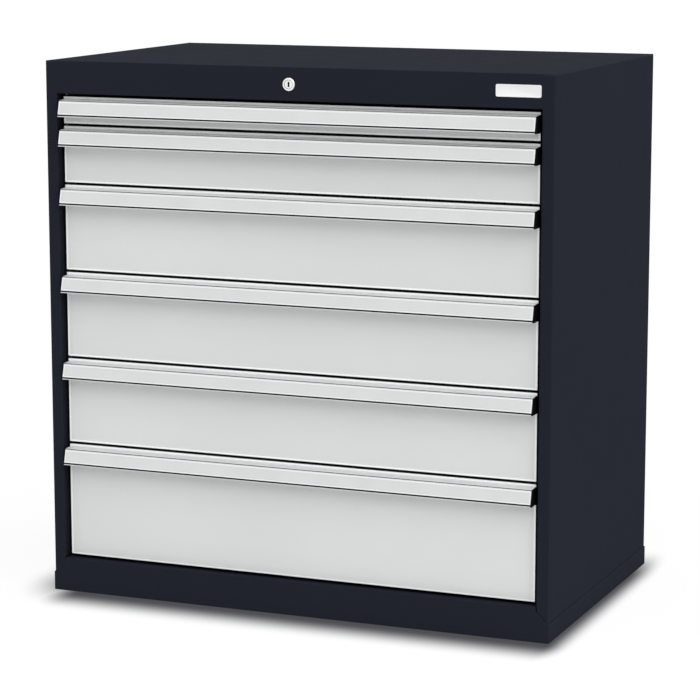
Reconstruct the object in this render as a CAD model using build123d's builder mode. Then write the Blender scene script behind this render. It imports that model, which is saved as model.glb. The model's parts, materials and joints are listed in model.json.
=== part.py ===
from build123d import *
import os
from math import atan2, cos, degrees, hypot, radians, sin

# Drawer cabinet of folded sheet steel with six telescopic drawers and one central lock.
# Millimetres. +Z is up, +Y runs from the drawer fronts to the back, +X to the viewer's right.
# The origin is on the floor, below the middle of the bounding box.

os.makedirs("parts", exist_ok=True)

# Housing
width = 902.0  # across the side panels
depth = 560.0  # stile face to rear flange
sheet = 1.5  # housing sheet thickness
bend = 2.0  # outer bend radius of folded sheet
edge_round = 1.0  # softened sheet edges that show
stile_width = 21.0
stile_return = 20.0  # depth of the fold behind each stile
top_rail = 55.3  # height of the lock rail over the drawers
rail_return = 20.0  # depth of the folds above and below the opening
rear_flange = 20.0
base_rail = 58.5  # height of the plinth front
base_clearance = 1.5  # plinth front to the lowest grid line
skirt = 32.0  # height of the plinth on the other sides
base_flange = 30.0  # inward foot of the plinth
floor_rise = 50.0  # top of the floor panel
panel_fit = 0.5  # room round the back and floor panels

# Drawer fronts, from the top down
grid = 50.0  # height module
front_units = (1, 2, 3, 3, 3, 4)  # height of each front in modules
front_gap = 3.3  # between two fronts
top_clearance = 4.7  # over the top front
side_clearance = 5.5  # between a front and a stile
front_recess = 12.0  # front face behind the stile face
front_sheet = 1.2
front_fold = 16.0  # depth of the folded rim behind a front
front_lip = 16.0  # width of the lips that face the drawer box

# Handle strip, measured from the upper edge of its front
handle_drop = 5.0  # upper edge of the front to the strip
handle_slope = 1.3  # fall of the upper flange
handle_top_reach = 19.5  # reach of the upper flange
handle_reach = 26.0  # reach of the lower bead
handle_height = 28.5
handle_wall = 2.0
handle_leg = 17.0  # flange against the front
handle_corner = 1.5  # outer radius where flange and face meet
bead_radius = 1.2
handle_end_gap = 2.0  # end of the front to the end of the strip
channel_depth = 1.2  # label channel in the face
channel_lip = 0.4  # solid face above the channel
channel_foot = 0.4  # solid face below the channel
label_fit = 0.1  # label to the upper wall of its channel
lower_groove = 1.4  # channel left open below the label
label_thickness = 1.0  # label with its clear cover
cap_corner = 1.5
tongue_length = 6.0  # cap tongue inside the strip
tongue_height = 4.0
tongue_width = 11.0
tongue_fit = 0.2

# Drawer boxes
box_sheet = 1.0
box_lift = 5.0  # grid line to box bottom
rear_space = 26.0  # box to back panel
travel_margin = 25.0  # box depth less the travel

# Telescopic slides
rail_height = 28.0
rail_depth = 8.5
rail_wall = 1.5
rail_lift = 3.0  # box bottom to rail
rail_front_gap = 5.0  # folded rim of a front to the rails
rail_rear_gap = 14.0  # rails to back panel
slide_gap = 0.3  # carriage to rail
carriage_thickness = 2.0
carriage_height = 23.0
roller_gap = 0.3  # roller to the rail flange
roller_width = 6.0
roller_end = 6.0  # roller edge to the end of its run
axle_radius = 4.0
axle_fit = 0.05

# Slotted uprights
upright_width = 30.0
upright_inset = 36.0  # housing face or back to upright
slot_width = 7.0
slot_height = 13.0
hook_fit = 0.3  # hook in its slot, all round
hook_reach = 5.0  # hook past the inner face of the upright

# Lock and locking gear
lock_drop = 28.0  # top of the housing to the lock axis
lock_x = -2.6  # lock axis from the middle of the rail
rosette_radius = 10.8
rosette_thickness = 2.6
rosette_round = 1.2
barrel_radius = 9.5
barrel_length = 24.0
barrel_fit = 0.1
plug_radius = 7.2
plug_fit = 0.05
plug_recess = 0.5
plug_tail = 3.0  # plug past the barrel
key_width = 3.2
key_height = 8.4
key_depth = 16.0
nut_thickness = 5.0
nut_radius = 13.0
shaft_radius = 5.0
crank_radius = 5.7  # throw of the crank pin
crank_thickness = 4.0
crank_rim = 4.0  # crank metal round shaft and pin
pin_radius = 2.5
pin_fit = 0.4
gear_gap = 0.3  # running gaps of the locking gear
lock_angle = 90.0  # turn of the key
bar_thickness = 3.0
bar_width = 30.0
bar_overlap = 12.0  # bar above the crank pin
bar_foot = 20.0  # bar past the lowest hook
hook_thickness = 2.5
hook_width = 18.0
hook_clear = 1.0  # unlocked hook to the box rim below it and to the box above it
tip_gap = 0.6  # hook tip to the inside of the rear wall
tip_depth = 6.0
bracket_sheet = 3.0
bracket_width = 40.0
bracket_foot = 26.0
bracket_wall = 12.0  # bracket below the shaft axis
bracket_inset = 60.0  # bracket to back panel
guide_height = 24.0
guide_sheet = 2.0
guide_mouth = 24.0  # opening for the hooks to pass
guide_share = 0.2  # place of the guides between the ends of the bar

# Places that follow from the sizes
handle_proud = handle_reach - front_recess
half_width = width / 2
opening_half = half_width - stile_width
front_half = opening_half - side_clearance
front_y = (handle_proud - depth - sheet) / 2
back_y = front_y + depth
back_inside = back_y - 2 * sheet
middle_y = (front_y + back_y) / 2
lowest_line = base_rail + base_clearance
opening_top = lowest_line + grid * sum(front_units) + top_clearance
height = opening_top + top_rail
panel_y = front_y + front_recess
rim_y = panel_y + front_fold
box_rear = back_inside - rear_space
box_depth = box_rear - rim_y
travel = box_depth - travel_margin
rail_front = rim_y + rail_front_gap
rail_length = back_inside - rail_rear_gap - rail_front
carriage_x = opening_half - rail_depth - slide_gap - carriage_thickness / 2
box_half = opening_half - 2 * (rail_depth + slide_gap) - carriage_thickness
rail_middle = box_lift + rail_lift + rail_height / 2  # grid line to rail axis
roller_radius = rail_height / 2 - rail_wall - roller_gap
handle_half = front_half - handle_end_gap
upright_lows = (front_y + upright_inset, back_y - upright_inset - upright_width)
lock_z = height - lock_drop
bar_stroke = 2 * crank_radius * sin(radians(lock_angle / 2))
box_drop = 2 * hook_clear + bar_stroke + hook_thickness - box_lift  # upper edge of the front to the box rim

grid_lines = []
for count in range(len(front_units)):
    grid_lines.append(lowest_line + grid * sum(front_units[count + 1:]))


def across(y):
    """Plane that faces the front at the given depth; a negative extrusion goes towards the back."""
    return Plane.XZ.offset(-y)


def save(piece, name):
    piece.part.label = name
    export_step(piece.part, f"parts/{name}.step")


def folded(points, radius, side, thickness=sheet):
    """Closed section of a folded sheet: the points are its outer face, the sheet lies on one side."""
    with BuildSketch() as section:
        with BuildLine():
            FilletPolyline(*points, radius=radius)
            offset(amount=thickness, side=side)
        make_face()
    return section.sketch


# Side panels: stile fold, stile, wall and rear flange in one folded sheet
wall_points = [
    (opening_half, front_y),
    (half_width, front_y),
    (half_width, back_y),
    (opening_half, back_y),
]
for name in ("left_side_panel", "right_side_panel"):
    with BuildPart() as side_panel:
        with BuildSketch(Plane.XY.offset(sheet)):
            add(folded([(opening_half, front_y + stile_return)] + wall_points, bend, Side.LEFT))
        extrude(amount=opening_top - sheet)
        with BuildSketch(Plane.XY.offset(opening_top)):
            add(folded(wall_points, bend, Side.LEFT))
        extrude(amount=height - sheet - opening_top)
        if name.startswith("left"):
            mirror(about=Plane.YZ, mode=Mode.REPLACE)
    save(side_panel, name)

# Top panel: cover sheet, lock rail with its fold over the opening, and rear flange
rail_points = [
    (front_y + rail_return, opening_top),
    (front_y, opening_top),
    (front_y, height),
    (back_y, height),
    (back_y, height - rear_flange),
]
with BuildPart() as top_panel:
    with BuildSketch(Plane.YZ.offset(-opening_half)):
        add(folded(rail_points, [bend, 0, 0], Side.RIGHT))
    extrude(amount=2 * opening_half)
    with BuildSketch(Plane.XY.offset(height - sheet)):
        with Locations((0, middle_y)):
            RectangleRounded(width, depth, bend)
    extrude(amount=sheet)
    fillet(top_panel.faces().sort_by(Axis.Z)[-1].edges(), edge_round)
    with BuildSketch(across(front_y)):
        with Locations((lock_x, lock_z)):
            Circle(barrel_radius + barrel_fit)
    extrude(amount=-sheet, mode=Mode.SUBTRACT)
save(top_panel, "top_panel")

# Back panel, laid against the rear flanges from inside
with BuildPart() as back_panel:
    with BuildSketch(across(back_inside)):
        with Locations((0, height / 2)):
            Rectangle(width - 2 * (sheet + panel_fit), height - 2 * sheet)
    extrude(amount=-sheet)
save(back_panel, "back_panel")

# Base plinth: skirt, inward foot, and a front that is mitred against the stiles
plinth_half = half_width + sheet
mitre_half = plinth_half - bend
with BuildPart() as base_plinth:
    with BuildSketch():
        with Locations((0, middle_y)):
            RectangleRounded(2 * plinth_half, depth + 2 * sheet, bend)
            Rectangle(width, depth, mode=Mode.SUBTRACT)
    extrude(amount=skirt)
    with BuildSketch():
        with Locations((0, middle_y)):
            Rectangle(width, depth)
            Rectangle(width - 2 * base_flange, depth - 2 * base_flange, mode=Mode.SUBTRACT)
    extrude(amount=sheet)
    with BuildSketch(across(front_y - sheet)):
        with BuildLine():
            Polyline(
                (0, 0),
                (mitre_half, 0),
                (mitre_half, skirt),
                (opening_half, skirt + mitre_half - opening_half),
                (opening_half, base_rail),
                (0, base_rail),
                close=True,
            )
        make_face()
        mirror(about=Plane.YZ)
    extrude(amount=-sheet)
    with BuildSketch(Plane.XY.offset(base_rail - sheet)):
        with Locations((0, front_y - sheet)):
            Rectangle(2 * opening_half, rail_return + sheet, align=(Align.CENTER, Align.MIN))
    extrude(amount=sheet)
    rail_edge = base_plinth.edges().filter_by(Axis.X).group_by(Axis.Z)[-1].sort_by(Axis.Y)[0]
    fillet(rail_edge, edge_round)
save(base_plinth, "base_plinth")

# Floor panel: an upturned tray that stands on the plinth foot
floor_front = front_y + stile_return + panel_fit
floor_depth = back_inside - panel_fit - floor_front
floor_width = width - 2 * (sheet + panel_fit)
with BuildPart() as floor_panel:
    with BuildSketch(Plane.XY.offset(sheet)):
        with Locations((0, floor_front + floor_depth / 2)):
            Rectangle(floor_width, floor_depth)
    extrude(amount=floor_rise - sheet)
    offset(amount=-sheet, openings=floor_panel.faces().sort_by(Axis.Z)[0], kind=Kind.INTERSECTION)
save(floor_panel, "floor_panel")

# Slotted uprights, with one slot on every grid line
slot_count = sum(front_units)


def column_points(low):
    """Outer face of an upright that starts at the given depth."""
    high = low + upright_width
    wall = half_width - sheet
    return [(wall, low), (opening_half, low), (opening_half, high), (wall, high)]


for name in ("left_uprights", "right_uprights"):
    with BuildPart() as uprights:
        for low in upright_lows:
            with BuildSketch(Plane.XY.offset(floor_rise)):
                add(folded(column_points(low), bend, Side.RIGHT))
            extrude(amount=opening_top - floor_rise)
            with BuildSketch(Plane.YZ.offset(opening_half)):
                with Locations((low + upright_width / 2, lowest_line + rail_middle + grid * (slot_count - 1) / 2)):
                    with GridLocations(0, grid, 1, slot_count):
                        Rectangle(slot_width, slot_height)
            extrude(amount=sheet, mode=Mode.SUBTRACT)
        if name.startswith("left"):
            mirror(about=Plane.YZ, mode=Mode.REPLACE)
    save(uprights, name)

# Cabinet rails: C channels that hook into the uprights
for name in ("left_cabinet_rails", "right_cabinet_rails"):
    with BuildPart() as cabinet_rails:
        for line in grid_lines:
            rail_z = line + rail_middle
            with BuildSketch(across(rail_front)):
                with Locations((opening_half, rail_z)):
                    Rectangle(rail_depth, rail_height, align=(Align.MAX, Align.CENTER))
                with Locations((opening_half - rail_wall, rail_z)):
                    Rectangle(
                        rail_depth,
                        rail_height - 2 * rail_wall,
                        align=(Align.MAX, Align.CENTER),
                        mode=Mode.SUBTRACT,
                    )
            extrude(amount=-rail_length)
            with BuildSketch(Plane.YZ.offset(opening_half)):
                for low in upright_lows:
                    with Locations((low + upright_width / 2, rail_z)):
                        Rectangle(slot_width - 2 * hook_fit, slot_height - 2 * hook_fit)
            extrude(amount=hook_reach)
        if name.startswith("left"):
            mirror(about=Plane.YZ, mode=Mode.REPLACE)
    save(cabinet_rails, name)

# Lock housing: rosette and barrel round the plug's bore
with BuildPart() as lock_housing:
    with BuildSketch(across(front_y)):
        with Locations((lock_x, lock_z)):
            Circle(rosette_radius)
    extrude(amount=rosette_thickness)
    fillet(lock_housing.faces().sort_by(Axis.Y)[0].edges(), rosette_round)
    with BuildSketch(across(front_y)):
        with Locations((lock_x, lock_z)):
            Circle(barrel_radius)
    extrude(amount=-barrel_length)
    with BuildSketch(across(front_y - rosette_thickness)):
        with Locations((lock_x, lock_z)):
            Circle(plug_radius + plug_fit)
    extrude(amount=-(rosette_thickness + barrel_length), mode=Mode.SUBTRACT)
save(lock_housing, "lock_housing")

# Lock nut behind the rail
with BuildPart() as lock_nut:
    with BuildSketch(across(front_y + sheet)):
        with Locations((lock_x, lock_z)):
            RegularPolygon(nut_radius, 6)
            Circle(barrel_radius + barrel_fit, mode=Mode.SUBTRACT)
    extrude(amount=-nut_thickness)
save(lock_nut, "lock_nut")

# Lock plug with its keyway
plug_front = front_y - rosette_thickness + plug_recess
plug_rear = front_y + barrel_length + plug_tail
with BuildPart() as lock_plug:
    with BuildSketch(across(plug_front)):
        with Locations((lock_x, lock_z)):
            Circle(plug_radius)
    extrude(amount=plug_front - plug_rear)
    with BuildSketch(across(plug_front)):
        with Locations((lock_x, lock_z)):
            Rectangle(key_width, key_height)
    extrude(amount=-key_depth, mode=Mode.SUBTRACT)
save(lock_plug, "lock_plug")

# Drive shaft from the plug to the crank at the back
bar_rear = back_inside - guide_sheet - gear_gap
bar_front = bar_rear - bar_thickness
crank_rear = bar_front - gear_gap
crank_front = crank_rear - crank_thickness
pin_side = crank_radius * cos(radians(lock_angle / 2))
pin_z = lock_z + crank_radius * sin(radians(lock_angle / 2))
crank_turn = lock_angle / 2
with BuildPart() as drive_shaft:
    with BuildSketch(across(plug_rear)):
        with Locations((lock_x, lock_z)):
            Circle(shaft_radius)
    extrude(amount=plug_rear - crank_front)
    with BuildSketch(across(crank_front)):
        with Locations((lock_x + pin_side / 2, (lock_z + pin_z) / 2)):
            SlotCenterToCenter(crank_radius, 2 * (shaft_radius + crank_rim), rotation=crank_turn)
    extrude(amount=-crank_thickness)
    with BuildSketch(across(crank_rear)):
        with Locations((lock_x + pin_side, pin_z)):
            Circle(pin_radius)
    extrude(amount=-(gear_gap + bar_thickness))
save(drive_shaft, "drive_shaft")

# Shaft bracket, hung from the cover sheet
bracket_y = back_inside - bracket_inset
bracket_points = [
    (bracket_y, lock_z - bracket_wall),
    (bracket_y, height - sheet),
    (bracket_y + bracket_foot, height - sheet),
]
with BuildPart() as shaft_bracket:
    with BuildSketch(Plane.YZ.offset(lock_x - bracket_width / 2)):
        add(folded(bracket_points, bracket_sheet + edge_round, Side.RIGHT, bracket_sheet))
    extrude(amount=bracket_width)
    with BuildSketch(across(bracket_y)):
        with Locations((lock_x, lock_z)):
            Circle(shaft_radius + axle_fit)
    extrude(amount=-bracket_sheet, mode=Mode.SUBTRACT)
save(shaft_bracket, "shaft_bracket")

# Locking bar: a flat strip with a slot for the crank pin
rear_rims = []
for line, units in zip(grid_lines, front_units):
    rear_rims.append(line + grid * units - box_drop)
bar_low = min(rear_rims) - bar_foot
bar_high = pin_z + bar_overlap
with BuildPart() as locking_bar:
    with BuildSketch(across(bar_front)):
        with Locations((lock_x, bar_low)):
            Rectangle(bar_width, bar_high - bar_low, align=(Align.CENTER, Align.MIN))
        with Locations((lock_x + (pin_side + crank_radius) / 2, pin_z)):
            SlotCenterToCenter(crank_radius - pin_side, 2 * (pin_radius + pin_fit), mode=Mode.SUBTRACT)
    extrude(amount=-bar_thickness)
save(locking_bar, "locking_bar")

# Locking hooks on the bar: each tip stands over its drawer, in front of the rear wall
tip_rear = box_rear - box_sheet - tip_gap
with BuildPart() as locking_hooks:
    for rim in rear_rims:
        tip_low = rim + hook_clear
        arm_low = tip_low + bar_stroke
        with BuildSketch(Plane.YZ.offset(lock_x - hook_width / 2)):
            with BuildLine():
                Polyline(
                    (bar_front, arm_low + hook_thickness),
                    (tip_rear - tip_depth, arm_low + hook_thickness),
                    (tip_rear - tip_depth, tip_low),
                    (tip_rear, tip_low),
                    (tip_rear, arm_low),
                    (bar_front, arm_low),
                    close=True,
                )
            make_face()
        extrude(amount=hook_width)
save(locking_hooks, "locking_hooks")

# Guides of the locking bar on the back panel, open in front where the hooks pass
guide_offset = (bar_high - bar_low) * guide_share
guide_depth = bar_thickness + 2 * (gear_gap + guide_sheet)
with BuildPart() as locking_bar_guides:
    for low in (bar_low + guide_offset, bar_high - guide_offset - guide_height):
        with BuildSketch(Plane.XY.offset(low)):
            with Locations((lock_x, back_inside)):
                Rectangle(bar_width + 2 * (gear_gap + guide_sheet), guide_depth, align=(Align.CENTER, Align.MAX))
                Rectangle(guide_mouth, guide_depth, align=(Align.CENTER, Align.MAX), mode=Mode.SUBTRACT)
                Rectangle(bar_width, guide_sheet, align=(Align.CENTER, Align.MAX))
            with Locations((lock_x, bar_rear + gear_gap)):
                Rectangle(
                    bar_width + 2 * gear_gap,
                    bar_thickness + 2 * gear_gap,
                    align=(Align.CENTER, Align.MAX),
                    mode=Mode.SUBTRACT,
                )
        extrude(amount=guide_height)
save(locking_bar_guides, "locking_bar_guides")

# Handle section, seen from the end: reach from the front along the first axis, height along the second
flange_front = (handle_top_reach, -handle_drop - handle_slope)
face_foot = (handle_reach, -handle_drop - handle_height + bead_radius)
handle_points = [(0, -handle_drop - handle_leg), (0, -handle_drop), flange_front, face_foot]
face_run = (face_foot[0] - flange_front[0], face_foot[1] - flange_front[1])
face_length = hypot(*face_run)
face_turn = degrees(atan2(face_run[1], face_run[0]))
face_along = (face_run[0] / face_length, face_run[1] / face_length)
face_normal = (-face_along[1], face_along[0])
channel_start = handle_corner + channel_lip
channel_end = face_length - channel_foot
channel_middle = (channel_start + channel_end) / 2
label_start = channel_start + label_fit
label_end = channel_end - lower_groove
label_middle = (label_start + label_end) / 2


def on_face(along, inward):
    """Point of the handle face, a run down from its upper corner and a depth under its surface."""
    reach = flange_front[0] + along * face_along[0] - inward * face_normal[0]
    rise = flange_front[1] + along * face_along[1] - inward * face_normal[1]
    return reach, rise


# Drawers, from the top down: all their pieces, and the roller carriages that carry them
carriage_rear = rail_front + rail_length
cabinet_rollers = (
    rail_front + travel / 2 + roller_end + roller_radius,
    carriage_rear - roller_end - roller_radius,
)
drawer_rollers = (
    rail_front + roller_end + roller_radius,
    carriage_rear - travel / 2 - roller_end - roller_radius,
)
for number, (line, units) in enumerate(zip(grid_lines, front_units), start=1):
    drawer = f"drawer_{number}"
    front_top = line + grid * units
    front_height = grid * units - front_gap
    rail_z = line + rail_middle

    # Front: a folded tray with lips that face the box
    with BuildPart() as front:
        with BuildSketch(across(panel_y)):
            with Locations((0, front_top)):
                Rectangle(2 * front_half, front_height, align=(Align.CENTER, Align.MAX))
        extrude(amount=-front_fold)
        fillet(front.faces().sort_by(Axis.Y)[0].edges(), edge_round)
        with BuildSketch(across(panel_y + front_sheet)):
            with Locations((0, front_top - front_height / 2)):
                Rectangle(2 * (front_half - front_sheet), front_height - 2 * front_sheet)
        extrude(amount=2 * front_sheet - front_fold, mode=Mode.SUBTRACT)
        with BuildSketch(across(rim_y)):
            with Locations((0, front_top - front_height / 2)):
                Rectangle(2 * (front_half - front_lip), front_height - 2 * front_lip)
        extrude(amount=front_sheet, mode=Mode.SUBTRACT)
    save(front, f"{drawer}_front")

    # Box: open tray of thin sheet
    box_low = line + box_lift
    box_high = front_top - box_drop
    with BuildPart() as box:
        with BuildSketch(Plane.XY.offset(box_low)):
            with Locations((0, rim_y)):
                Rectangle(2 * box_half, box_depth, align=(Align.CENTER, Align.MIN))
        extrude(amount=box_high - box_low)
        offset(amount=-box_sheet, openings=box.faces().sort_by(Axis.Z)[-1], kind=Kind.INTERSECTION)
    save(box, f"{drawer}_box")

    # Handle strip: extruded section with a leg, a flange, a slanted face and a bead
    handle_plane = Plane((handle_half, panel_y, front_top), x_dir=(0, -1, 0), z_dir=(-1, 0, 0))
    with BuildPart() as handle:
        with BuildSketch(handle_plane):
            add(folded(handle_points, [0, handle_corner], Side.RIGHT, handle_wall))
            with Locations((handle_reach - bead_radius, face_foot[1])):
                Circle(bead_radius)
            with Locations(on_face(channel_middle, 0)):
                Rectangle(
                    channel_end - channel_start,
                    2 * channel_depth,
                    rotation=face_turn,
                    mode=Mode.SUBTRACT,
                )
        extrude(amount=2 * handle_half)
    save(handle, f"{drawer}_handle")

    # Label strip in the channel of the handle face, with a groove below it
    with BuildPart() as label_strip:
        with BuildSketch(handle_plane):
            with Locations(on_face(label_middle, channel_depth - label_thickness / 2)):
                Rectangle(label_end - label_start, label_thickness, rotation=face_turn)
        extrude(amount=2 * handle_half)
    save(label_strip, f"{drawer}_label_strip")

    # End caps: plates that close the ends of the strip, each with a tongue under the flange
    tongue_top = -handle_drop - handle_slope - handle_wall - tongue_fit
    with BuildPart() as end_caps:
        with BuildSketch(handle_plane):
            with BuildLine():
                FilletPolyline(
                    (0, -handle_drop),
                    flange_front,
                    face_foot,
                    (handle_reach - bead_radius, -handle_drop - handle_height),
                    (0, -handle_drop - handle_height),
                    radius=[0, handle_corner, cap_corner, cap_corner, 0],
                    close=True,
                )
            make_face()
        extrude(amount=-handle_end_gap)
        with BuildSketch(handle_plane):
            with Locations((handle_wall + tongue_fit, tongue_top)):
                Rectangle(tongue_width, tongue_height, align=(Align.MIN, Align.MAX))
        extrude(amount=tongue_length)
        mirror(about=Plane.YZ)
    save(end_caps, f"{drawer}_end_caps")

    # Drawer rails: C channels on the box sides, open towards the carriages
    with BuildPart() as drawer_rails:
        with BuildSketch(across(rail_front)):
            with Locations((box_half, rail_z)):
                Rectangle(rail_depth, rail_height, align=(Align.MIN, Align.CENTER))
            with Locations((box_half + rail_wall, rail_z)):
                Rectangle(
                    rail_depth,
                    rail_height - 2 * rail_wall,
                    align=(Align.MIN, Align.CENTER),
                    mode=Mode.SUBTRACT,
                )
        extrude(amount=rail_front - box_rear)
        mirror(about=Plane.YZ)
    save(drawer_rails, f"{drawer}_drawer_rails")

    # Roller carriages: a plate between the two rails, with rollers that run in each of them
    outer_face = carriage_x + carriage_thickness / 2
    inner_face = carriage_x - carriage_thickness / 2
    with BuildPart() as carriages:
        with BuildSketch(Plane.YZ.offset(inner_face)):
            with Locations((rail_front, rail_z)):
                Rectangle(rail_length, carriage_height, align=(Align.MIN, Align.CENTER))
        extrude(amount=carriage_thickness)
        for face, places, way in ((outer_face, cabinet_rollers, 1), (inner_face, drawer_rollers, -1)):
            spots = [(place, rail_z) for place in places]
            with BuildSketch(Plane.YZ.offset(face)):
                with Locations(spots):
                    Circle(axle_radius)
            extrude(amount=way * (slide_gap + roller_width))
            with BuildSketch(Plane.YZ.offset(face + way * slide_gap)):
                with Locations(spots):
                    Circle(roller_radius)
                    Circle(axle_radius + axle_fit, mode=Mode.SUBTRACT)
            extrude(amount=way * roller_width)
        mirror(about=Plane.YZ)
    save(carriages, f"slide_{number}_carriages")
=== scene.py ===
import json
import math

import bmesh
import bpy
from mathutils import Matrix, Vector


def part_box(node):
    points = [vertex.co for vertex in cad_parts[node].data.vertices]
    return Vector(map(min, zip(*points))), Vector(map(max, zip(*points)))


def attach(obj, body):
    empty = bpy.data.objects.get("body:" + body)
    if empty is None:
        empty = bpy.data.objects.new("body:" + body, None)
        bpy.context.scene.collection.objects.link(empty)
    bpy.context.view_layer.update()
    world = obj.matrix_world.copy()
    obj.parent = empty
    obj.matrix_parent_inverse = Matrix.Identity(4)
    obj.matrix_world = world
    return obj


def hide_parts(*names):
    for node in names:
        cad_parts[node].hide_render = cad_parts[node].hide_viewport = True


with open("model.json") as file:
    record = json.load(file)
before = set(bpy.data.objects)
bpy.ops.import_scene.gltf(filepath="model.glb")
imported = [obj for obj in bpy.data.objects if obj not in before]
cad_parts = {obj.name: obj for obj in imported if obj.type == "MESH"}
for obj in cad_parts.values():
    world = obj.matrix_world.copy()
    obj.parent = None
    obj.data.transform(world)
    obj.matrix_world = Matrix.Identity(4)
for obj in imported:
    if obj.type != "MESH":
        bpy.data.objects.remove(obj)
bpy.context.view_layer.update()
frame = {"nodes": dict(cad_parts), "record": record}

# Looks of the drawer cabinet: finishes, small fittings, light, floor and camera.
# Lengths are metres, in the frame of the solids.

nodes = frame["nodes"]
record = frame["record"]
scene = bpy.context.scene
scene.view_settings.view_transform = "Standard"
drawers = range(1, 7)
right = Vector((1, 0, 0))
back = Vector((0, 1, 0))
upwards = Vector((0, 0, 1))
quarter_turn = math.radians(90)

# Camera, at the photograph's viewing angle
camera_place = Vector((1.72338, -4.23221, 1.20866))
camera_azimuth = math.radians(22.2425)
camera_elevation = math.radians(9.9239)
camera_lens = 136.176  # millimetres on the default sensor
camera_reach = 200.0

# Light: an even sky, a broad lamp from above on the right of the camera, and a weak one
# from the right that also reaches the back
sky_light = 0.50
lamps = {  # strength, colour, then angular width, azimuth and elevation in degrees
    "main_lamp": (2.2, (1, 1, 1), 75, 40, 58),
    "side_lamp": (0.95, (1, 0.98, 0.88), 30, 122, 14),
}


def direction(azimuth, elevation):
    """Unit vector from the object towards a camera or lamp; azimuth 0 is straight in front."""
    flat = math.cos(elevation)
    return Vector((math.sin(azimuth) * flat, -math.cos(azimuth) * flat, math.sin(elevation)))


def aimed(name, data, towards):
    """A camera or lamp that stands towards a direction and looks back along it."""
    thing = bpy.data.objects.new(name, data)
    thing.rotation_mode = "QUATERNION"
    thing.rotation_quaternion = (-towards).to_track_quat("-Z", "Y")
    scene.collection.objects.link(thing)
    return thing


camera_data = bpy.data.cameras.new("camera")
camera_data.lens = camera_lens
camera_data.clip_end = camera_reach
camera = aimed("camera", camera_data, direction(camera_azimuth, camera_elevation))
camera.location = camera_place
scene.camera = camera

for lamp_name, (strength, colour, *angles) in lamps.items():
    width, azimuth, elevation = [math.radians(angle) for angle in angles]
    lamp = bpy.data.lights.new(lamp_name, "SUN")
    lamp.energy = strength
    lamp.color = colour
    lamp.angle = width
    aimed(lamp_name, lamp, direction(azimuth, elevation))

# Limits between which the masks of the finishes fade
noise_limits = (0.3, 0.7)
edge_limits = (0.995, 0.90)  # cosine between the rounded and the true normal
turned_limits = (0.88, 0.997)  # share of the normal along Y
corner_low = (0.27, 0.36)  # share of the normal along Z, next to the steep face
corner_high = (0.965, 0.992)  # and next to the top
seam_limits = (0.002, 0.004)  # distance from a ground seam
outer_limits = (0.0006, 0.0002)  # distance from the outer faces of the sides
outer_gap_shade_share = 0.2  # share of the painted shade in gaps that is left on those faces
outline_core = 0.7  # share of an outline's width that is at full strength
tone_shares = (0.975, 1.025)  # ends of the drift of a colour's tone
gap_samples = 8
edge_samples = 6
mix_inputs = (6, 7)  # colour sockets of the Mix node
mix_output = 2


def scaled(colour, share):
    return tuple(channel * share for channel in colour)


class Tree:
    """A node tree with short calls to add nodes and links."""

    def __init__(self, tree):
        self.tree = tree

    def add(self, kind, inputs=None, **settings):
        """A new node; each input is a value or another node's socket."""
        node = self.tree.nodes.new(kind)
        for key, value in settings.items():
            setattr(node, key, value)
        for key, value in (inputs or {}).items():
            if isinstance(value, bpy.types.NodeSocket):
                self.tree.links.new(value, node.inputs[key])
            else:
                node.inputs[key].default_value = value
        return node

    def math(self, operation, first, second=0.0):
        return self.add("ShaderNodeMath", {0: first, 1: second}, operation=operation).outputs[0]

    def seen(self):
        """1 for rays from the camera and for rays that metal or glass sends on, else 0."""
        path = self.add("ShaderNodeLightPath").outputs
        direct = self.math("MAXIMUM", path["Is Camera Ray"], path["Is Glossy Ray"])
        return self.math("MAXIMUM", direct, path["Is Transmission Ray"])

    def span(self, value, low, high, start, end, kind="LINEAR"):
        """A value from low to high mapped to the range from start to end."""
        inputs = {"Value": value, "From Min": low, "From Max": high, "To Min": start, "To Max": end}
        return self.add("ShaderNodeMapRange", inputs, interpolation_type=kind).outputs["Result"]

    def mix(self, value, first, second):
        """Colour mix; each colour is three numbers or a socket."""
        node = self.add("ShaderNodeMix", {"Factor": value}, data_type="RGBA")
        for index, colour in zip(mix_inputs, (first, second)):
            if isinstance(colour, bpy.types.NodeSocket):
                self.tree.links.new(colour, node.inputs[index])
            else:
                node.inputs[index].default_value = (*colour, 1)
        return node.outputs[mix_output]


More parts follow.
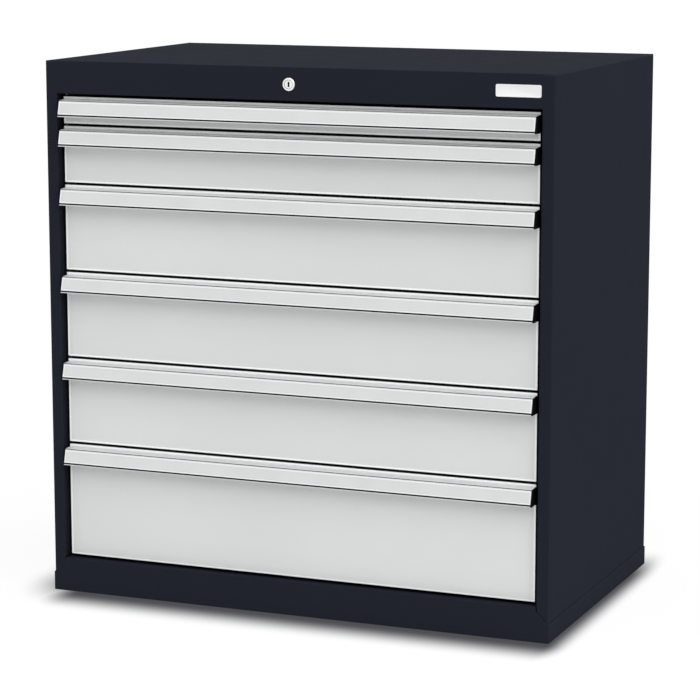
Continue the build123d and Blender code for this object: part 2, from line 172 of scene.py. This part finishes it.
class Finish(Tree):
    """One procedural material: a Principled shader and the nodes that feed it."""

    def __init__(self, name, **constants):
        self.material = bpy.data.materials.new(name)
        self.material.use_nodes = True
        super().__init__(self.material.node_tree)
        self.shader = self.tree.nodes["Principled BSDF"]
        for socket, value in constants.items():
            self.shader.inputs[socket.replace("_", " ")].default_value = value
        self.place = self.add("ShaderNodeTexCoord").outputs["Object"]

    def feed(self, socket, value):
        self.tree.links.new(value, self.shader.inputs[socket])

    def part(self, vector, axis):
        """One component of a vector."""
        return self.add("ShaderNodeSeparateXYZ", {0: vector}).outputs[axis]

    def normal(self):
        return self.add("ShaderNodeNewGeometry").outputs["Normal"]

    def apart(self, value, mark):
        """Distance of a value from a mark."""
        return self.math("ABSOLUTE", self.math("SUBTRACT", value, mark))

    def aside(self):
        """Distance from the middle, to the left or right."""
        return self.math("ABSOLUTE", self.part(self.place, "X"))

    def noise(self, scale, detail, stretch=(1, 1, 1)):
        """Noise in object space; a stretch below 1 draws it out along that axis."""
        place = self.add("ShaderNodeMapping", {"Vector": self.place, "Scale": stretch})
        inputs = {"Vector": place.outputs[0], "Scale": scale, "Detail": detail}
        return self.add("ShaderNodeTexNoise", inputs).outputs["Fac"]

    def spread(self, noise, start=0.0, end=1.0):
        """A noise value mapped to a range."""
        return self.span(noise, *noise_limits, start, end)

    def toned(self, mask, colour):
        """A colour whose tone drifts a little."""
        return self.mix(mask, *[scaled(colour, share) for share in tone_shares])

    def roughen(self, noise, roughness, drift):
        self.feed("Roughness", self.spread(noise, roughness - drift, roughness + drift))

    def bump(self, height, distance, below=None):
        inputs = {"Height": height, "Distance": distance, "Strength": 1.0}
        if below is not None:
            inputs["Normal"] = below
        return self.add("ShaderNodeBump", inputs).outputs["Normal"]

    def open_to_light(self, distance, low, high):
        """Ambient occlusion: 0 deep in gaps and grooves, 1 on open surfaces; painted shade follows
        it.
        """
        inputs = {"Distance": distance}
        node = self.add("ShaderNodeAmbientOcclusion", inputs, samples=gap_samples)
        return self.span(node.outputs["AO"], low, high, 0.0, 1.0, "SMOOTHSTEP")

    def edge(self, radius):
        """1 along outer and inner edges within the radius, 0 on flat sheet."""
        soft = self.add("ShaderNodeBevel", {"Radius": radius}, samples=edge_samples).outputs[0]
        inputs = {0: soft, 1: self.normal()}
        along = self.add("ShaderNodeVectorMath", inputs, operation="DOT_PRODUCT")
        return self.span(along.outputs["Value"], *edge_limits, 0.0, 1.0)

    def turned(self):
        """0 on surfaces that face the front or back, 1 on those that face sideways, up or down."""
        facing = self.math("ABSOLUTE", self.part(self.normal(), "Y"))
        return self.span(facing, *turned_limits, 1.0, 0.0)

    def corner(self):
        """1 on a rounded corner between a top and a steep face, 0 on both of them."""
        rise = self.part(self.normal(), "Z")
        off_face = self.span(rise, *corner_low, 0.0, 1.0)
        return self.math("MULTIPLY", off_face, self.span(rise, *corner_high, 1.0, 0.0))

    def off_seam(self, distance):
        """0 along the ground seams at a distance from the middle, 1 elsewhere."""
        return self.span(self.apart(self.aside(), distance), *seam_limits, 0.0, 1.0)

    def inner_shade_share(self, half_width):
        """1 inside the half width, less on the faces that lie on it: how much of the painted gap
        shade is kept.
        """
        limits = [half_width - limit for limit in outer_limits]
        return self.span(self.aside(), *limits, 1.0, outer_gap_shade_share)

    def outline(self, half_width, levels, width):
        """1 on the outline of panels seen from the front, 0 from the given width inwards."""
        nearest = self.math("SUBTRACT", half_width, self.aside())
        height = self.part(self.place, "Z")
        for level in levels:
            nearest = self.math("MINIMUM", nearest, self.apart(height, level))
        return self.span(nearest, outline_core * width, width, 1.0, 0.0)


# Powder coat: scale and detail of its noises, heights of its texture, and its edges lightened by
# wear and painted highlight
coat_drift = (3.0, 3.0)
coat_wear_and_highlight = (35.0, 5.0)
coat_gloss = (24.0, 4.0)
coat_peel = (650.0, 2.0)
coat_grain = (2400.0, 1.0)
peel_height = 0.000012
grain_height = 0.000006
wear_and_highlight_shares = (0.7, 1.0)
coat_edge = 0.0015
coat_roughness_drift = 0.03


def powder_coat(name, colour, roughness, specular, gap_shade, edge_highlight_share,
                panels=None, seam=None, outside=None):
    """Powder coat: fine orange peel, a slight drift of tone, edges lightened by painted highlight,
    painted shade in gaps.

    Panels have a painted highlight along their outline, other sheet a lighter edge of wear and
    painted highlight along all edges but its ground seams. The painted gap shade is fainter on
    faces that lie outside.
    """
    finish = Finish(name, Specular_IOR_Level=specular)
    body = finish.toned(finish.spread(finish.noise(*coat_drift)), colour)
    turned = finish.turned()
    # panels: a painted highlight along their outline; other sheet: lighter edges, part wear and
    # part painted highlight
    if panels:
        facing = finish.math("SUBTRACT", 1.0, turned)
        edge = finish.math("MULTIPLY", finish.outline(*panels), facing)
    else:
        worn_and_lit = finish.spread(finish.noise(*coat_wear_and_highlight), *wear_and_highlight_shares)
        edge = finish.math("MULTIPLY", finish.edge(coat_edge), worn_and_lit)
    if seam:
        edge = finish.math("MULTIPLY", edge, finish.off_seam(seam))
    body = finish.mix(edge, body, scaled(colour, edge_highlight_share))
    # painted shade in gaps: darker where ambient occlusion finds a gap, on faces turned sideways
    *limits, gap_shade_share = gap_shade
    depth = finish.math("SUBTRACT", 1.0, finish.open_to_light(*limits))
    painted_shade_mask = finish.math("MULTIPLY", depth, turned)
    if outside:
        painted_shade_mask = finish.math("MULTIPLY", painted_shade_mask, finish.inner_shade_share(outside))
    finish.feed("Base Color", finish.mix(painted_shade_mask, body, scaled(colour, gap_shade_share)))
    finish.roughen(finish.noise(*coat_gloss), roughness, coat_roughness_drift)
    peel = finish.bump(finish.noise(*coat_peel), peel_height)
    finish.feed("Normal", finish.bump(finish.noise(*coat_grain), grain_height, below=peel))
    return finish.material


# Metal: fine lines and painted shade in its grooves
line_detail = 4.0
line_height = 0.000006
line_share = 0.96  # of the colour, in the lines
groove_shade = (0.003, 0.10, 0.45)  # reach, then how open it is where the painted shade is full and where there is none
groove_shade_share = 0.10
roughness_drift = 0.05


def metal(name, colour, roughness, scale, stretch, metallic=1.0, corner_shade_share=None):
    """Plated or drawn metal with fine lines along the stretched axis, with painted shade in its
    grooves.

    With a corner shade share, its rounded corner keeps only that share of the colour: a painted
    shadow line along it.
    """
    finish = Finish(name, Metallic=metallic)
    lines = finish.noise(scale, line_detail, stretch)
    body = finish.mix(finish.spread(lines), scaled(colour, line_share), colour)
    # painted shade in grooves, where ambient occlusion is low
    body = finish.mix(finish.open_to_light(*groove_shade), scaled(colour, groove_shade_share), body)
    if corner_shade_share:
        # painted shadow line on the rounded corner
        body = finish.mix(finish.corner(), body, scaled(colour, corner_shade_share))
    finish.feed("Base Color", body)
    finish.roughen(lines, roughness, roughness_drift)
    finish.feed("Normal", finish.bump(lines, line_height))
    return finish.material


# Plastic: scale and detail of its noises, and the painted highlight along its edges
plastic_grain = (1400.0, 2.0)
plastic_tone = (18.0, 3.0)
painted_highlight_share = 1.25


def plastic(name, colour, roughness, specular, grain, panels=None):
    """Moulded plastic with a fine grain of the given height; panels get a painted highlight along
    their outline.
    """
    finish = Finish(name, Specular_IOR_Level=specular)
    noise = finish.noise(*plastic_grain)
    body = finish.toned(finish.spread(finish.noise(*plastic_tone)), colour)
    if panels:
        body = finish.mix(finish.outline(*panels), body, scaled(colour, painted_highlight_share))
    finish.feed("Base Color", body)
    finish.roughen(noise, roughness, roughness_drift)
    finish.feed("Normal", finish.bump(noise, grain))
    return finish.material


# Carriages: zinc-plated plates between nylon rollers
zinc_scale = 160.0
zinc_stretch = (1, 0.2, 1)
plate_colours = ((0.56, 0.57, 0.58), (0.60, 0.61, 0.62))
roller_colours = ((0.66, 0.65, 0.60), (0.70, 0.69, 0.64))
carriage_roughness = (0.30, 0.42)


def slide_finish(name, plate_low, plate_high):
    """Carriage plates and the rollers on both sides of them, told apart by their place."""
    finish = Finish(name)
    aside = finish.aside()
    above = finish.math("GREATER_THAN", aside, plate_low)
    plate = finish.math("MULTIPLY", above, finish.math("LESS_THAN", aside, plate_high))
    lines = finish.noise(zinc_scale, line_detail, zinc_stretch)
    tone = finish.spread(lines)
    steel = finish.mix(tone, *plate_colours)
    nylon = finish.mix(tone, *roller_colours)
    finish.feed("Base Color", finish.mix(plate, nylon, steel))
    finish.feed("Metallic", plate)
    finish.feed("Roughness", finish.spread(lines, *carriage_roughness))
    finish.feed("Normal", finish.bump(lines, line_height))
    return finish.material


# Lock: turned nickel
nickel_colours = ((0.88, 0.88, 0.87), (0.92, 0.92, 0.91))
nickel_roughness = (0.30, 0.38)
turning_scale = 700.0
turning_waver = 2.0
turning_height = 0.000004
lock_seam = 0.0007  # how far the seam round the plug reaches
lock_seam_core = 0.3  # share of that reach which is fully dull
lock_seam_colour = (0.30, 0.30, 0.30)
keyway_depth = 0.0003  # behind the plug's face, from where the keyway gets painted shade
keyway_shade_colour = (0.002, 0.002, 0.002)


def lock_finish(name, axis, plug_radius, face):
    """Nickel with a dull seam between plug and housing, and painted shade in the keyway behind the
    face.
    """
    finish = Finish(name, Metallic=1.0)
    place = finish.add("ShaderNodeSeparateXYZ", {0: finish.place}).outputs
    aside = finish.math("POWER", finish.math("SUBTRACT", place["X"], axis[0]), 2.0)
    above = finish.math("POWER", finish.math("SUBTRACT", place["Z"], axis[2]), 2.0)
    reach = finish.math("SQRT", finish.math("ADD", aside, above))
    inputs = {"Vector": finish.place, "Scale": turning_scale, "Distortion": turning_waver}
    turning = finish.add("ShaderNodeTexWave", inputs).outputs["Fac"]
    body = finish.mix(turning, *nickel_colours)
    off_seam = finish.apart(reach, plug_radius)
    clear = finish.span(off_seam, lock_seam_core * lock_seam, lock_seam, 0.0, 1.0)
    body = finish.mix(clear, lock_seam_colour, body)
    # painted shade in the keyway
    behind = finish.math("GREATER_THAN", place["Y"], face)
    inside = finish.math("LESS_THAN", reach, plug_radius - lock_seam)
    keyway_shade = finish.math("MULTIPLY", behind, inside)
    finish.feed("Base Color", finish.mix(keyway_shade, body, keyway_shade_colour))
    finish.feed("Roughness", finish.span(turning, 0.0, 1.0, *nickel_roughness))
    finish.feed("Normal", finish.bump(turning, turning_height))
    return finish.material


# Places that the finishes go by
front_highlight_width = 0.0045  # width of the painted highlight along a front's outline
front_boxes = [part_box(f"drawer_{number}_front") for number in drawers]
front_levels = [corner.z for box in front_boxes for corner in box]
front_panels = (front_boxes[0][1].x, front_levels, front_highlight_width)
# width of the painted highlight along a label's outline
label_highlight_width = 0.0024
strip_cover = 0.0012  # dark strip over the label's lower edge, standing in for the groove's shade
label_boxes = [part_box(f"drawer_{number}_label_strip") for number in drawers]
label_levels = [low.z + strip_cover for low, high in label_boxes]
label_levels += [high.z for low, high in label_boxes]
label_panels = (label_boxes[0][1].x, label_levels, label_highlight_width)
stile_width = 0.0225  # from the plinth's outer face to where the lock rail meets the stile
stile_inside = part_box("base_plinth")[1].x - stile_width
side_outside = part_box("right_side_panel")[1].x
carriage_plate = (0.41915, 0.42125)  # distance of the carriage plates from the middle
joints = {joint["name"]: joint for joint in record["behaviour"]["joints"]}
lock_axis = joints["lock_turn"]["pos_m"]
plug_low, plug_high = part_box("lock_plug")
plug_radius = (plug_high.x - plug_low.x) / 2

# Finishes by material slot
housing_colour = (0.0160, 0.0184, 0.0262)
front_colour = (0.690, 0.704, 0.697)
box_colour = scaled(front_colour, 0.94)
# painted shade in gaps: how far a gap reaches, how open it is where the painted shade is full and
# where there is none, and the share of the colour that is left under full painted shade
painted_gap_shade = {
    "housing": (0.006, 0.45, 0.85, 0.02),
    "front": (0.012, 0.82, 0.99, 0.002),
    "box": (0.004, 0.45, 0.85, 0.02),
}
finishes = {
    "housing_paint": powder_coat(
        "housing_paint", housing_colour, roughness=0.70, specular=0.003,
        gap_shade=painted_gap_shade["housing"], edge_highlight_share=1.9, seam=stile_inside, outside=side_outside,
    ),
    "front_paint": powder_coat(
        "front_paint", front_colour, roughness=0.48, specular=0.25,
        gap_shade=painted_gap_shade["front"], edge_highlight_share=1.37, panels=front_panels,
    ),
    "box_paint": powder_coat(
        "box_paint", box_colour, roughness=0.48, specular=0.25,
        gap_shade=painted_gap_shade["box"], edge_highlight_share=1.15,
    ),
    "handle_aluminium": metal(
        "handle_aluminium", (0.74, 0.75, 0.755), roughness=0.52, scale=900.0,
        stretch=(0.02, 1, 1), metallic=0.35, corner_shade_share=0.09,
    ),
    "cap_plastic": plastic(
        "cap_plastic", (0.0035, 0.0035, 0.0040), roughness=0.60, specular=0.06, grain=0.00002,
    ),
    "label_card": plastic(
        "label_card", (0.645, 0.656, 0.654), roughness=0.42, specular=0.25, grain=0.000004,
        panels=label_panels,
    ),
    "zinc_steel": metal(
        "zinc_steel", (0.60, 0.61, 0.62), roughness=0.34, scale=zinc_scale, stretch=zinc_stretch,
    ),
    "lock_nickel": lock_finish("lock_face", lock_axis, plug_radius, plug_low.y + keyway_depth),
}
carriage_finish = slide_finish("slide_carriages", *carriage_plate)
carriages = [f"slide_{number}_carriages" for number in drawers]
for part in record["subparts"]:
    on_slide = part["node"] in carriages
    for material_slot in nodes[part["node"]].material_slots:
        material_slot.material = carriage_finish if on_slide else finishes[part["material_slot"]]

# Pieces that the scene adds
sharp_angle = 35  # degrees; edges over it are kept sharp
tray_sharp_angle = 40
rivet_radius = 0.0032
rivet_height = 0.0011
rivet_steps = 16  # round its axis
rivet_rings = 4


def piece(name, body, shape, finish):
    """A finished bmesh as an object that rides on a body."""
    bmesh.ops.recalc_face_normals(shape, faces=shape.faces)
    mesh = bpy.data.meshes.new(name)
    shape.to_mesh(mesh)
    shape.free()
    mesh.materials.append(finish)
    thing = bpy.data.objects.new(name, mesh)
    scene.collection.objects.link(thing)
    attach(thing, body)
    return thing


def smooth(thing, angle=sharp_angle):
    """Smooth shading, with edges over the angle kept sharp."""
    for face in thing.data.polygons:
        face.use_smooth = True
    thing.data.set_sharp_from_angle(angle=math.radians(angle))


def ring(shape, points):
    return [shape.verts.new(point) for point in points]


def band(shape, first, second):
    """Quads between two closed loops of the same length."""
    count = len(first)
    for index in range(count):
        after = (index + 1) % count
        shape.faces.new((first[index], first[after], second[after], second[index]))


def rounded_outline(half_width, half_height, radius, steps):
    """Corner-rounded rectangle as points around the origin."""
    outline = []
    for corner, (side, rise) in enumerate(((1, 1), (-1, 1), (-1, -1), (1, -1))):
        for step in range(steps + 1):
            angle = quarter_turn * (corner + step / steps)
            across = side * (half_width - radius) + radius * math.cos(angle)
            up = rise * (half_height - radius) + radius * math.sin(angle)
            outline.append((across, up))
    return outline


def swept(shape, outline, start, end, across, up):
    """Closed bar: the outline, in the plane of across and up, carried from start to end."""
    loops = []
    for place in (start, end):
        points = [place + across * first + up * second for first, second in outline]
        loops.append(ring(shape, points))
    band(shape, *loops)
    shape.faces.new(loops[0])
    shape.faces.new(list(reversed(loops[1])))


def rivet_head(shape, centre, axis):
    """Low dome that stands on a surface."""
    side = axis.orthogonal().normalized()
    up = axis.cross(side)
    loops = []
    for level in range(rivet_rings):
        turn = quarter_turn * level / rivet_rings
        reach = rivet_radius * math.cos(turn)
        points = []
        for step in range(rivet_steps):
            angle = 2 * math.pi * step / rivet_steps
            around = side * math.cos(angle) + up * math.sin(angle)
            points.append(centre + around * reach + axis * (rivet_height * math.sin(turn)))
        loops.append(ring(shape, points))
    for lower, upper in zip(loops, loops[1:]):
        band(shape, lower, upper)
    crown = shape.verts.new(centre + axis * rivet_height)
    for step in range(rivet_steps):
        shape.faces.new((loops[-1][step], loops[-1][(step + 1) % rivet_steps], crown))
    shape.faces.new(list(reversed(loops[0])))


# Bare plate on the lock rail: a thin pressed plate with a raised rim
plate_aside = 0.39085
plate_height = 0.89275
plate_centre = Vector((plate_aside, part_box("top_panel")[0].y, plate_height))
plate_half = (0.03785, 0.0099)
plate_corner = 0.0026
plate_steps = 6  # in a corner
plate_levels = (  # inset from the outline, height over the rail
    (0.0, 0.0), (0.0, 0.0007), (0.0003, 0.0010), (0.0009, 0.0010), (0.0012, 0.0008),
)
plate = bmesh.new()
plate_loops = []
for inset, lift in plate_levels:
    half_sizes = [half - inset for half in plate_half]
    outline = rounded_outline(*half_sizes, plate_corner - inset, plate_steps)
    points = [plate_centre + right * across + upwards * up - back * lift for across, up in outline]
    plate_loops.append(ring(plate, points))
for lower, upper in zip(plate_loops, plate_loops[1:]):
    band(plate, lower, upper)
plate.faces.new(list(reversed(plate_loops[0])))
plate.faces.new(plate_loops[-1])
plate_finish = plastic(
    "plate_enamel", (0.86, 0.86, 0.86), roughness=0.35, specular=0.3, grain=0.000004,
)
smooth(piece("bare_plate", "cabinet", plate, plate_finish))

# Dark strip in the groove of each handle face, over the label's lower edge: a dark sheet that
# stands in for the shade in that groove
label_thick = 0.0010
strip_outline = (  # run down the face from the label's lower edge, height over the label
    (-strip_cover, 0.00002), (-strip_cover, 0.00012), (0.0008, 0.0002), (0.00135, 0.00012),
    (0.00135, -0.0010), (0.00003, -0.0010), (0.00003, 0.00002),
)
painted_shade_strip = plastic(
    "strip_painted_shade", (0.006, 0.006, 0.0065), roughness=0.6, specular=0.1, grain=0.00001,
)
for number in drawers:
    label_low, label_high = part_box(f"drawer_{number}_label_strip")
    down = Vector((0, label_low.y - label_high.y, label_low.z - label_high.z))
    lean = math.atan2(-down.y, -down.z) + math.asin(label_thick / down.length)
    along = Vector((0, -math.sin(lean), -math.cos(lean)))
    outward = Vector((0, -math.cos(lean), math.sin(lean)))
    lower_edge = Vector((0, label_low.y, label_low.z + label_thick * math.sin(lean)))
    left_end, right_end = [lower_edge + right * corner.x for corner in (label_low, label_high)]
    strip = bmesh.new()
    swept(strip, strip_outline, left_end, right_end, along, outward)
    piece(f"drawer_{number}_dark_groove_strip", f"drawer_{number}", strip, painted_shade_strip)


def slotted_sheet(shape, corner, along, up, inward, size, thickness, columns, rows):
    """Sheet with a grid of slots cut through it; columns and rows are (start, end) runs."""
    along_cuts = [0.0] + [cut for run in columns for cut in run] + [size[0]]
    up_cuts = [0.0] + [cut for run in rows for cut in run] + [size[1]]
    layers = []
    for depth in (0.0, thickness):
        bases = [corner + inward * depth + along * a for a in along_cuts]
        layers.append([ring(shape, [base + up * b for b in up_cuts]) for base in bases])

    def solid(a, b):
        inside = 0 <= a < len(along_cuts) - 1 and 0 <= b < len(up_cuts) - 1
        return inside and not (a % 2 and b % 2)

    outer, inner = layers
    for a in range(len(along_cuts) - 1):
        for b in range(len(up_cuts) - 1):
            if not solid(a, b):
                continue
            for layer in layers:
                near, far = layer[a], layer[a + 1]
                shape.faces.new((near[b], far[b], far[b + 1], near[b + 1]))
            rim = (  # two ends of a side of the field, and the field beyond it
                ((a, b), (a + 1, b), (a, b - 1)),
                ((a + 1, b), (a + 1, b + 1), (a + 1, b)),
                ((a + 1, b + 1), (a, b + 1), (a, b + 1)),
                ((a, b + 1), (a, b), (a - 1, b)),
            )
            for (a0, b0), (a1, b1), beyond in rim:
                if not solid(*beyond):
                    shape.faces.new((outer[a0][b0], outer[a1][b1], inner[a1][b1], inner[a0][b0]))


def runs(length, pitch, width, margin):
    """Evenly spaced (start, end) runs of one width, centred on a length."""
    count = int((length - 2 * margin - width) / pitch) + 1
    first = (length - (count - 1) * pitch - width) / 2
    return [(first + pitch * index, first + pitch * index + width) for index in range(count)]


# Drawer trays: thin sheet with partition slots and a folded hem round the rim
tray_sheet = 0.001
hem_width = 0.0024
hem_height = 0.0070
hem_steps = 6
slot_pitch = 0.025
slot_width = 0.0024
slot_row = 0.030
slot_height = 0.018
slot_margin = 0.012
hook_room = 0.020  # rim left plain for the locking hook, each side of the middle
rivet_shares = (0.12, 0.5, 0.88)  # places of a side's rivets along its slots


def hem_outline(width):
    """Section of a folded hem with a round top: across from the outer face, up from its foot."""
    radius = width / 2
    outline = [(0.0, 0.0)]
    for step in range(hem_steps + 1):
        angle = math.pi * (1 - step / hem_steps)
        across = radius + radius * math.cos(angle)
        outline.append((across, hem_height - radius + radius * math.sin(angle)))
    outline.append((width, 0.0))
    return outline


for number in drawers:
    body_name = f"drawer_{number}"
    low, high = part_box(f"drawer_{number}_box")
    wide, deep = high.x - low.x, high.y - low.y
    side_length = deep - 2 * tray_sheet
    tall = high.z - low.z - tray_sheet - hem_height
    tray = bmesh.new()
    slotted_sheet(tray, low.copy(), right, back, upwards, (wide, deep), tray_sheet, [], [])
    foot = low.z + tray_sheet
    rows = runs(tall, slot_row, min(slot_height, tall - slot_margin), slot_margin / 2)
    walls = (  # corner, along, inward, length
        (Vector((low.x, low.y, foot)), right, back, wide),
        (Vector((low.x, high.y, foot)), right, -back, wide),
        (Vector((low.x, low.y + tray_sheet, foot)), back, right, side_length),
        (Vector((high.x, low.y + tray_sheet, foot)), back, -right, side_length),
    )
    for corner, along, inward, length in walls:
        columns = runs(length, slot_pitch, slot_width, slot_margin)
        wall_size = (length, tall)
        slotted_sheet(tray, corner, along, upwards, inward, wall_size, tray_sheet, columns, rows)
        rim = corner + upwards * tall
        if inward == -back:
            middle = length / 2
            hems = (
                (0.0, middle - hook_room, hem_width),
                (middle - hook_room, middle + hook_room, tray_sheet),
                (middle + hook_room, length, hem_width),
            )
        else:
            inset = hem_width - tray_sheet if along == back else 0.0
            hems = ((inset, length - inset, hem_width),)
        for start, end, width in hems:
            ends = (rim + along * start, rim + along * end)
            swept(tray, hem_outline(width), *ends, inward, upwards)
    shown = piece(f"drawer_{number}_tray", body_name, tray, finishes["box_paint"])
    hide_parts(f"drawer_{number}_box")
    smooth(shown, tray_sharp_angle)

    rail_low, rail_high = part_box(f"drawer_{number}_drawer_rails")
    rail_middle = (rail_low.z + rail_high.z) / 2
    slots = runs(side_length, slot_pitch, slot_width, slot_margin)
    rivets = bmesh.new()
    for side in (1, -1):
        for share in rivet_shares:
            near = slots[int(share * (len(slots) - 1))][1]
            aside = side * (high.x - tray_sheet)
            place = Vector((aside, low.y + near + slot_pitch / 2, rail_middle))
            rivet_head(rivets, place, right * -side)
    zinc = finishes["zinc_steel"]
    smooth(piece(f"drawer_{number}_rivets", body_name, rivets, zinc))

# Rivets that hold the back panel to the flanges: a row up each side and one along the top
side_row_aside = 0.4395
side_row_foot = 0.090
side_row_pitch = 0.128
side_row_count = 7
top_row_height = 0.9105
top_row_pitch = 0.15
top_row_places = range(-2, 3)
flange_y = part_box("right_side_panel")[1].y
rear_rivets = bmesh.new()
for side in (1, -1):
    for step in range(side_row_count):
        height = side_row_foot + side_row_pitch * step
        rivet_head(rear_rivets, Vector((side * side_row_aside, flange_y, height)), back)
for step in top_row_places:
    rivet_head(rear_rivets, Vector((top_row_pitch * step, flange_y, top_row_height)), back)
smooth(piece("rear_rivets", "cabinet", rear_rivets, finishes["zinc_steel"]))

# Floor: white as seen, with the soft shadow that lies round the plinth
floor_half = 60.0
floor_drop = 0.0005  # keeps the plinth's foot clear of the floor
floor_noise = (1.5, 2.0)
floor_colours = ((0.845, 0.845, 0.855), (0.855, 0.855, 0.865))
plinth_low, plinth_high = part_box("base_plinth")
# rectangles of deep shadow: how far their left, right, front and back edges lie outside the
# plinth's sides, and how far the shadow fades out beyond each
shadow_forms = (
    ((-0.0548, -0.0037, 0.0031, -0.1125), (0.0834, 0.0522, 0.1223, 0.2338)),
    ((-0.0366, -0.4525, -0.0853, -0.0878), (0.1350, 0.0500, 0.2034, 0.0500)),
)
shadow_colour = (0.080, 0.079, 0.089)
shown_share = 0.9  # of the seen floor; the rest takes the lamps' own shadows
floor_mesh = bpy.data.meshes.new("floor")
floor_corners = [
    (x * floor_half, y * floor_half, -floor_drop) for x, y in ((-1, -1), (1, -1), (1, 1), (-1, 1))
]
floor_mesh.from_pydata(floor_corners, [], [(0, 1, 2, 3)])
floor = bpy.data.objects.new("floor", floor_mesh)
scene.collection.objects.link(floor)
ground = Finish("floor", Roughness=0.9, Specular_IOR_Level=0.0)
tone = ground.spread(ground.noise(*floor_noise))
place = ground.add("ShaderNodeSeparateXYZ", {0: ground.place}).outputs
away = 1.0
for (left, right_edge, front, rear), reaches in shadow_forms:
    edges = (
        ground.math("SUBTRACT", plinth_low.x - left, place["X"]),
        ground.math("SUBTRACT", place["X"], plinth_high.x + right_edge),
        ground.math("SUBTRACT", plinth_low.y - front, place["Y"]),
        ground.math("SUBTRACT", place["Y"], plinth_high.y + rear),
    )
    shares = [ground.math("DIVIDE", edge, reach) for edge, reach in zip(edges, reaches)]
    squares = []
    for before, after in (shares[:2], shares[2:]):
        outside = ground.math("MAXIMUM", ground.math("MAXIMUM", before, after), 0.0)
        squares.append(ground.math("POWER", outside, 2.0))
    away = ground.math("MINIMUM", away, ground.math("SQRT", ground.math("ADD", *squares)))
lightness = ground.span(away, 0.0, 1.0, 0.0, 1.0, "SMOOTHERSTEP")
shade = ground.mix(lightness, shadow_colour, (1, 1, 1))
pale = ground.mix(tone, *floor_colours)
seen = ground.seen()
ground.feed("Base Color", ground.mix(seen, pale, shade))
glow = ground.add("ShaderNodeEmission", {"Color": shade, "Strength": 1.0}).outputs[0]
lit_floor = ground.shader.outputs[0]
share = ground.math("MULTIPLY", seen, shown_share)
surface = ground.add("ShaderNodeMixShader", {"Fac": share, 1: lit_floor, 2: glow}).outputs[0]
ground.tree.links.new(surface, ground.tree.nodes["Material Output"].inputs["Surface"])
floor_mesh.materials.append(ground.material)

# Studio: white as seen, an even sky as light
world = bpy.data.worlds.new("studio")
scene.world = world
world.use_nodes = True
world.node_tree.nodes.clear()
studio = Tree(world.node_tree)
white = (1, 1, 1, 1)
lit = studio.add("ShaderNodeBackground", {"Color": white, "Strength": sky_light}).outputs[0]
bright = studio.add("ShaderNodeBackground", {"Color": white, "Strength": 1.0}).outputs[0]
chosen = studio.add("ShaderNodeMixShader", {"Fac": studio.seen(), 1: lit, 2: bright}).outputs[0]
studio.add("ShaderNodeOutputWorld", {"Surface": chosen})
